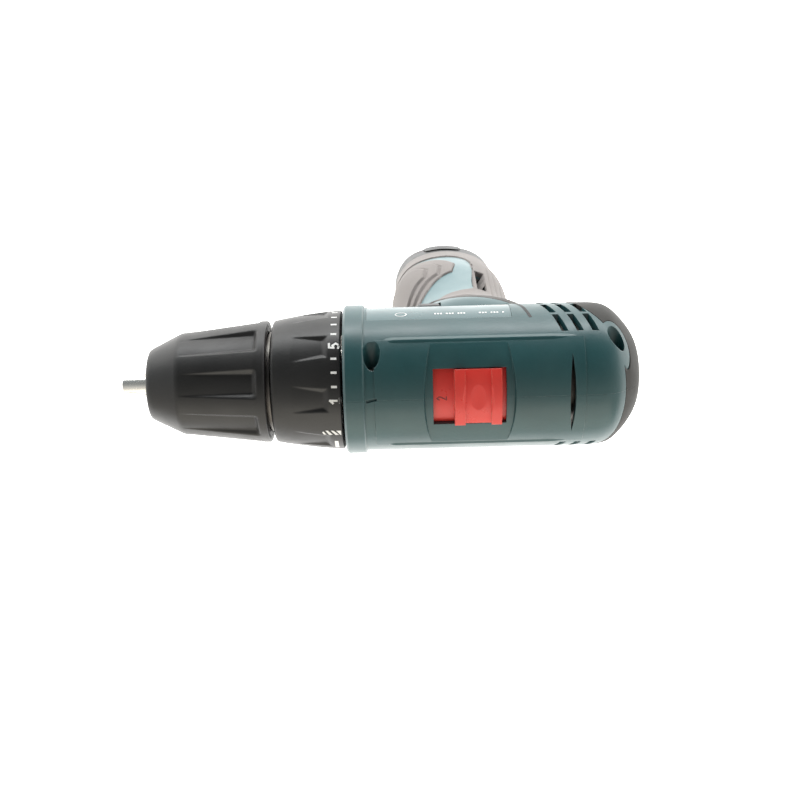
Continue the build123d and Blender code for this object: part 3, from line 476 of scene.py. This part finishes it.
def ribbon(points, width, steps=3):
    """Quads that follow a polyline, each run a little overlong and cut into short lengths."""
    overlap = 0.45
    patches = []
    for (x0, y0), (x1, y1) in zip(points, points[1:]):
        length = math.hypot(x1 - x0, y1 - y0)
        ux, uy = (x1 - x0) / length, (y1 - y0) / length
        x0, y0 = x0 - ux * width * overlap, y0 - uy * width * overlap
        x1, y1 = x1 + ux * width * overlap, y1 + uy * width * overlap
        nx, ny = -uy * width / 2, ux * width / 2
        for k in range(steps):
            a, b = k / steps, (k + 1) / steps
            ax, ay = x0 + (x1 - x0) * a, y0 + (y1 - y0) * a
            bx, by = x0 + (x1 - x0) * b, y0 + (y1 - y0) * b
            patches.append([(ax + nx, ay + ny), (bx + nx, by + ny), (bx - nx, by - ny), (ax - nx, ay - ny)])
    return patches


def oblong(x0, x1, arc0, arc1):
    """A four-cornered patch, square to the axis."""
    return [(x0, arc0), (x1, arc0), (x1, arc1), (x0, arc1)]


def print_round(name, patches, radius_at, body, finish):
    """Patches of (along the axis, arc from the top) laid round the chuck axis as a thin film, of ink and of
    painted shade.
    """
    film = 0.05
    points, faces = [], []
    for patch in patches:
        base = len(points)
        for lift in (film, -film):
            for x, arc in patch:
                plain = radius_at(x)
                points.append(round_the_axis(plain + lift, arc / plain, x))
        faces += [(base, base + 1, base + 2, base + 3), (base + 7, base + 6, base + 5, base + 4)]
        for k in range(4):
            m = (k + 1) % 4
            faces.append((base + k, base + 4 + k, base + 4 + m, base + m))
    piece(name, points, faces, body, finish, smooth=False)


def print_on_collar(name, patches):
    print_round(name, patches, collar_profile, "collar", "print_white")


def build_dial():
    """The torque scale: a tick for each step, numerals at 1 and every fifth, then the drilling sign."""
    step = math.radians(11.25)
    tick_x = (43.0, 45.0)
    half_tick = 0.4
    digit_x, height, advance, stroke_width = 41.95, 3.7, 2.75, 0.72
    radius = collar_profile(44.0)
    ticks = []
    numerals = []
    for value in range(1, 21):
        arc = (value - 1) * step * radius
        if value not in (1, 5, 10, 15, 20):
            ticks.append(oblong(*tick_x, arc - half_tick, arc + half_tick))
            continue
        text = str(value)
        start = arc - advance * len(text) / 2 + 0.25
        for place, digit in enumerate(text):
            for stroke in DIGITS[digit]:
                line = [(digit_x + height * v, start + advance * place + height * u) for u, v in stroke]
                numerals += ribbon(line, stroke_width)
    print_on_collar("dial_ticks", ticks)
    print_on_collar("dial_numerals", numerals)

    bit_angle, dash_angle, dash_step = 31, 43, 2.5
    bit = -math.radians(bit_angle) * radius
    flutes = [
        [(43.2, bit - 1.1), (45.0, bit + 1.1), (45.9, bit + 1.1), (44.4, bit - 1.1)],
        [(45.4, bit - 1.1), (46.9, bit + 1.1), (47.7, bit + 1.1), (46.6, bit - 1.1)],
        [(47.5, bit - 1.0), (48.5, bit + 0.6), (48.9, bit + 0.2), (48.4, bit - 1.0)],
        [(42.4, bit - 1.1), (42.4, bit + 1.1), (44.0, bit + 1.1), (42.7, bit - 1.1)],
    ]
    dash = []
    for k in range(6):
        arc0 = -math.radians(dash_angle + dash_step * k) * radius
        arc1 = -math.radians(dash_angle + dash_step * (k + 1)) * radius
        dash.append(oblong(43.6, 44.9, arc0, arc1))
    print_on_collar("dial_drill_sign", flutes + dash)


def build_label():
    """Generic marks on the label film, a ring and two rows of dashes, and painted shade: a dark line along
    the panel's curved rear edge.
    """
    label_r = -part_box("label_plate")[0].y / MM
    middle = math.radians(77.5) * label_r
    dash, half_width = 0.62, 0.45
    ring_x, ring_length, ring_width = 21, 1.9, 1.3
    marks = []
    for start, count in ((9.4, 12), (-6.0, 9)):
        for k in range(count):
            if k % 4 != 3:
                marks.append(oblong(start - k - dash, start - k, middle - half_width, middle + half_width))
    turn = np.linspace(0, 2 * math.pi, 25)
    ring = [(ring_x + ring_length * math.cos(a), middle + ring_width * math.sin(a)) for a in turn]
    marks += ribbon(ring, 0.28, steps=1)
    print_round("label_marks", marks, lambda x: label_r, "housing", "print_white")

    # painted shade: a dark line standing in for the shade along the panel's curved rear edge
    course = smooth_line([(12, 115), (-8, 115), (-15, 111.5), (-18.4, 104), (-20.8, 90), (-23.2, 69)])
    edge = [(x, math.radians(angle) * BARREL_R) for x, angle in course]
    print_round("label_seam_painted_shade", ribbon(edge, 1.1, steps=1), lambda x: BARREL_R, "housing", "seam_painted_shade")


def build_creases():
    """The soft crease on each side of the panel along the top of the barrel, running out at both ends."""
    turns = np.radians([43.8, 44.6, 45.4, 46.1, 46.6, 47.2, 48.0, 48.9, 49.8, 50.4])
    lifts = np.array([0.22, 0.36, 0.56, 0.68, 0.70, 0.65, 0.45, 0.20, 0.02, -0.08])
    rear, front, sunk = -42.0, 28.4, -0.15
    rear_fade, front_fade = 14.0, 5.0
    stations = np.linspace(rear, front, 120)
    for name, side in (("crease_right", 1), ("crease_left", -1)):
        points = []
        for x in stations:
            shown = float(smoothstep((x - rear) / rear_fade) * smoothstep((front - x) / front_fade))
            radii = BARREL_R + sunk + (lifts - sunk) * shown
            points += [round_the_axis(r, side * a, x) for a, r in zip(turns, radii)]
        faces = []
        for i in range(len(stations) - 1):
            for j in range(len(turns) - 1):
                corner = i * len(turns) + j
                faces.append((corner, corner + 1, corner + 1 + len(turns), corner + len(turns)))
        piece(name, points, faces, "housing", "teal_plastic")


def build_selector_sign():
    """The speed's numeral on the selector's front skirt, drawn as a darker red film: painted shade standing
    in for a numeral cut into it.
    """
    skirt_r = 22.97
    rear, height, right, width = 6.2, 3.4, -1.3, 2.4
    signs = []
    for stroke in DIGITS["2"]:
        signs += ribbon([(rear + height * v, right + width * u) for u, v in stroke], 0.36)
    print_round("selector_sign", signs, lambda x: skirt_r, "selector", "numeral_painted_shade")


# ---------------------------------------------------------------- sculpted soft grip on the handle
def smooth_line(points):
    """A Catmull-Rom line through side-view points."""
    steps = 8
    p = [np.array(q, float) for q in points]
    p = [2 * p[0] - p[1]] + p + [2 * p[-1] - p[-2]]
    line = []
    for a, b, c, d in zip(p, p[1:], p[2:], p[3:]):
        for k in range(steps):
            t = k / steps
            square, cube = 2 * a - 5 * b + 4 * c - d, 3 * b - a - 3 * c + d
            line.append(0.5 * (2 * b + (c - a) * t + square * t ** 2 + cube * t ** 3))
    line.append(p[-2])
    return np.array(line)


def line_distance(where, line):
    """Distance of each side-view point from a polyline."""
    best = np.full(len(where), 1e9)
    for a, b in zip(line, line[1:]):
        along = b - a
        t = np.clip(((where - a) @ along) / max(along @ along, 1e-9), 0, 1)
        best = np.minimum(best, np.linalg.norm(where - a - t[:, None] * along, axis=1))
    return best


def inside_distance(where, outline):
    """Distance from a closed outline, positive inside."""
    closed = np.vstack([outline, outline[:1]])
    inside = np.zeros(len(where), bool)
    for a, b in zip(closed, closed[1:]):
        crosses = (a[1] > where[:, 1]) != (b[1] > where[:, 1])
        if abs(b[1] - a[1]) > 1e-9:
            reach = a[0] + (where[:, 1] - a[1]) / (b[1] - a[1]) * (b[0] - a[0])
            inside ^= crosses & (where[:, 0] < reach)
    return np.where(inside, 1, -1) * line_distance(where, closed)


TONGUE_LAYERS = [
    (
        [(26, 100.5), (19, 99), (13.8, 94), (8.5, 85.5), (3.9, 78.5), (-1.0, 74)],
        [(-2.6, 63.5), (1.7, 57), (10, 50.5), (26, 47.5)],
    ),
    (
        [(26, 95.5), (19.5, 94), (15.2, 89.5), (11.2, 83), (8.4, 78.8), (5.0, 75.5)],
        [(4.0, 66.5), (7.2, 61.5), (13, 56.5), (26, 53.5)],
    ),
    (
        [(26, 90.5), (20, 89), (16.8, 85), (14.4, 81), (12.6, 78.3), (10.2, 76)],
        [(9.4, 68.5), (11.8, 64.5), (16, 61), (26, 58.5)],
    ),
]
REAR_EDGE = [(13.2, 121), (8.5, 110), (3.3, 101), (-6.5, 94.5)]
BAND_EDGE = [(-8.6, 92), (-9.2, 72), (-8.6, 56), (-5.0, 47.5), (4.0, 44.5), (26.0, 43.5)]
GRIP_TOP_Z = 127.0
GRIP_LOW_Z = 27.3
BAND_TOP_Z = BAND_EDGE[-1][1]
PAST_FRONT_X, PAST_REAR_X = 40, -60         # clear of the handle on each side
CREASES = [
    [(7.4, 121), (2.2, 112.5), (-1.6, 108.6), (-6, 107), (-11, 110)],
    [(1.4, 120), (-2.9, 115.5), (-6.2, 114), (-9.7, 115.5), (-11.3, 118)],
]
CREASE_FALLS = (0.35, 0.2)
GRIP_RISE = 0.6
GRIP_SUNK = 0.25        # how far its edge dips under the housing's surface
EDGE_ROLL = 0.4
RIB_GROOVES_X = (-15.6, -17.8, -20.0)
RIB_GROOVE = 0.4
RIBBED_Z, RIBBED_FADE = (58, 118), 6
LAYER_RISE = 0.7
LAYER_GROOVE = 0.4
SLOT_MIDDLE, SLOT_HALF = (-11.9, 82.5), (1.7, 11.0)
SCREW_HOLES, SCREW_HOLE_R = ((-23, 123), (-19, 99)), 3.2


def grip_height(where, y):
    """How far the soft grip stands off the housing at side-view points, and whether it is there at all."""
    layers = []
    for upper, lower in TONGUE_LAYERS:
        ahead = [(PAST_FRONT_X, lower[-1][1]), (PAST_FRONT_X, upper[0][1])]
        outline = np.vstack([smooth_line(upper), smooth_line(lower), ahead])
        layers.append(inside_distance(where, outline))
    rear = np.vstack(
        [
            smooth_line(REAR_EDGE),
            smooth_line(BAND_EDGE),
            [(PAST_FRONT_X, BAND_TOP_Z), (PAST_FRONT_X, GRIP_LOW_Z)],
            [(PAST_REAR_X, GRIP_LOW_Z), (PAST_REAR_X, GRIP_TOP_Z), (-6, GRIP_TOP_Z)],
        ]
    )
    area = np.maximum(layers[0], inside_distance(where, rear))
    beside_slot = np.max(np.abs(where - np.array(SLOT_MIDDLE)) - np.array(SLOT_HALF), axis=1)
    inside = np.minimum(area, beside_slot)
    for screw in SCREW_HOLES:
        from_screw = np.linalg.norm(where - np.array(screw), axis=1) - SCREW_HOLE_R
        inside = np.where(y < 0, np.minimum(inside, from_screw), inside)
    roll = np.sqrt(np.clip(1 - (1 - np.clip(inside / EDGE_ROLL, 0, 1)) ** 2, 0, 1))
    height = -GRIP_SUNK + (GRIP_RISE + GRIP_SUNK) * roll
    for layer in layers[1:]:
        height += LAYER_RISE * smoothstep(layer / 0.35) - LAYER_GROOVE * np.exp(-((layer + 0.4) / 0.4) ** 2)
    for crease, fall in zip(CREASES, CREASE_FALLS):
        above = np.vstack([smooth_line(crease), [(-30, 106), (-40, 140), (20, 140)]])
        height -= fall * roll * smoothstep(inside_distance(where, above) / 0.35)
    low, high = RIBBED_Z
    ribbed = smoothstep((where[:, 1] - low) / RIBBED_FADE) * smoothstep((high - where[:, 1]) / RIBBED_FADE)
    for rib in RIB_GROOVES_X:
        height -= RIB_GROOVE * ribbed * np.exp(-((where[:, 0] - rib) / 0.32) ** 2)
    height -= 0.2 * np.exp(-(y / 0.3) ** 2)
    return height, (beside_slot > 0.0) & (inside > -0.45)


def build_grip_relief():
    """The grip's moulded surface over the handle, laid on the CAD grips by rays cast in at the handle."""
    solids = bmesh.new()
    for node in ("grip_right", "grip_left", "housing_right", "housing_left"):
        solids.from_mesh(NODES[node].data)
    tree = BVHTree.FromBMesh(solids)
    count, step = 460, 0.34
    outside = 0.05
    missed = Vector((0, 0, -1e3))
    heights = np.arange(GRIP_LOW_Z - 0.1, GRIP_TOP_Z + 0.3, step)
    centre_x = np.interp(heights, [0, 45, 80, 108, 136], [0.3, -0.3, -2.3, -4.8, -7.0])
    found, normals = [], []
    for z, cx in zip(heights, centre_x):
        for j in range(count):
            a = 2 * math.pi * j / count
            way = Vector((-math.cos(a), -math.sin(a), 0))
            start = Vector((cx * MM, 0, z * MM)) - way * outside
            place, normal, _, _ = tree.ray_cast(start, way)
            found.append(place / MM if place else missed)
            normals.append(normal if normal else Vector((0, 0, 1)))
    solids.free()
    found = np.array(found)
    normals = np.array(normals)
    where = found[:, [0, 2]]
    height, present = grip_height(where, found[:, 1])
    points = found + normals * height[:, None]
    used = present & (found[:, 2] > 0)
    for name, side in (("grip_relief_right", -1), ("grip_relief_left", 1)):
        faces, number = [], {}
        for i in range(len(heights) - 1):
            for j in range(count):
                k = (j + 1) % count
                corners = (i * count + j, i * count + k, (i + 1) * count + k, (i + 1) * count + j)
                if not all(used[c] for c in corners):
                    continue
                if side * sum(found[c, 1] for c in corners) < 0:
                    continue
                faces.append(tuple(number.setdefault(c, len(number)) for c in corners))
        piece(name, [points[c] for c in number], faces, "housing", "grip_rubber")


# ---------------------------------------------------------------- studio and camera
FLOOR_GLOW = 1.8
DARK_SIDE = Vector((0, -0.695, 0.719))      # the way to the tent's dim opening


def soft_light(name, place, aim, width, height, power, colour):
    lamp = bpy.data.lights.new(name, "AREA")
    lamp.shape = "RECTANGLE"
    lamp.size, lamp.size_y = width, height
    lamp.energy = power
    lamp.color = colour
    obj = bpy.data.objects.new(name, lamp)
    bpy.context.scene.collection.objects.link(obj)
    obj.location = place
    obj.rotation_euler = (Vector(aim) - Vector(place)).to_track_quat("-Z", "Y").to_euler()


def make_floor():
    """A pale floor that glows, so that it burns out to white."""
    size = 40.0
    mesh = bpy.data.meshes.new("floor")
    corners = [(-size, -size, 0), (size, -size, 0), (size, size, 0), (-size, size, 0)]
    mesh.from_pydata(corners, [], [(0, 1, 2, 3)])
    floor = bpy.data.objects.new("floor", mesh)
    bpy.context.scene.collection.objects.link(floor)
    t = Tree("floor")
    t.link(t.ramp(t.noise(3.0, 2.0), 0.55, 0.6), t.shader.inputs["Roughness"])
    t.set(Base_Color=rgb(0.9, 0.9, 0.89), Emission_Color=rgb(1, 1, 1), Emission_Strength=FLOOR_GLOW)
    mesh.materials.append(t.material)


def make_world():
    """A white tent with a dim opening above the right shoulder, warm on the left and cool on the right."""
    world = bpy.data.worlds.new("studio")
    bpy.context.scene.world = world
    world.use_nodes = True
    tree = world.node_tree
    background = tree.nodes["Background"]
    direction = tree.nodes.new("ShaderNodeTexCoord").outputs["Generated"]
    towards = tree.nodes.new("ShaderNodeVectorMath")
    towards.operation = "DOT_PRODUCT"
    towards.inputs[1].default_value = DARK_SIDE
    tree.links.new(direction, towards.inputs[0])
    dim = tree.nodes.new("ShaderNodeValToRGB")
    dim.color_ramp.elements[0].position = 0.30
    dim.color_ramp.elements[0].color = (1, 1, 1, 1)
    dim.color_ramp.elements[1].position = 0.95
    dim.color_ramp.elements[1].color = (0.07, 0.07, 0.07, 1)
    tree.links.new(towards.outputs["Value"], dim.inputs["Fac"])
    split = tree.nodes.new("ShaderNodeSeparateXYZ")
    tree.links.new(direction, split.inputs[0])
    side = tree.nodes.new("ShaderNodeMapRange")
    side.inputs["From Min"].default_value = -0.7
    side.inputs["From Max"].default_value = 0.7
    tree.links.new(split.outputs["Y"], side.inputs["Value"])
    tint = tree.nodes.new("ShaderNodeMix")
    tint.data_type = "RGBA"
    tint.inputs[6].default_value = (0.90, 0.97, 1.0, 1)
    tint.inputs[7].default_value = (1.0, 0.93, 0.84, 1)
    tree.links.new(side.outputs["Result"], tint.inputs[0])
    both = tree.nodes.new("ShaderNodeMix")
    both.data_type = "RGBA"
    both.blend_type = "MULTIPLY"
    both.inputs[0].default_value = 1.0
    tree.links.new(dim.outputs["Color"], both.inputs[6])
    tree.links.new(tint.outputs[2], both.inputs[7])
    tree.links.new(both.outputs[2], background.inputs["Color"])
    background.inputs["Strength"].default_value = 1.0


def make_camera():
    """Above and slightly to the right of the upright drill, looking down past the barrel to the handle."""
    tilt = math.radians(18.0)
    roll = math.radians(1.5)
    distance = 0.430
    look_x = 0.022
    below_axis = 0.0078
    back = Vector((0, -math.sin(tilt), math.cos(tilt)))
    up = Vector((0, -math.cos(tilt), -math.sin(tilt)))
    target = Vector((look_x, 0, AXIS_Z)) - up * below_axis
    turn = Matrix.Rotation(-roll, 3, back)
    up = turn @ up
    right = up.cross(back)
    camera = bpy.data.cameras.new("camera")
    camera.sensor_width = 36.0
    camera.lens = 54.5
    camera.clip_start = 0.01
    obj = bpy.data.objects.new("camera", camera)
    bpy.context.scene.collection.objects.link(obj)
    facing = Matrix((right, up, back)).transposed().to_4x4()
    obj.matrix_world = Matrix.Translation(target + back * distance) @ facing
    bpy.context.scene.camera = obj


# ---------------------------------------------------------------- build
paint_cad_nodes()
build_collar()
build_sleeve()
build_dial()
build_label()
build_creases()
build_selector_sign()
build_grip_relief()
make_floor()
make_world()
make_camera()
soft_light("key", (0.0, -0.75, 0.06), (0, 0, 0.08), 1.2, 0.22, 5.5, (0.97, 0.99, 1.0))
soft_light("bounce", (0.0, 0.85, 0.72), (0, 0, AXIS_Z), 1.6, 0.9, 5.5, (1.0, 0.97, 0.86))
bpy.context.scene.view_settings.view_transform = "Standard"
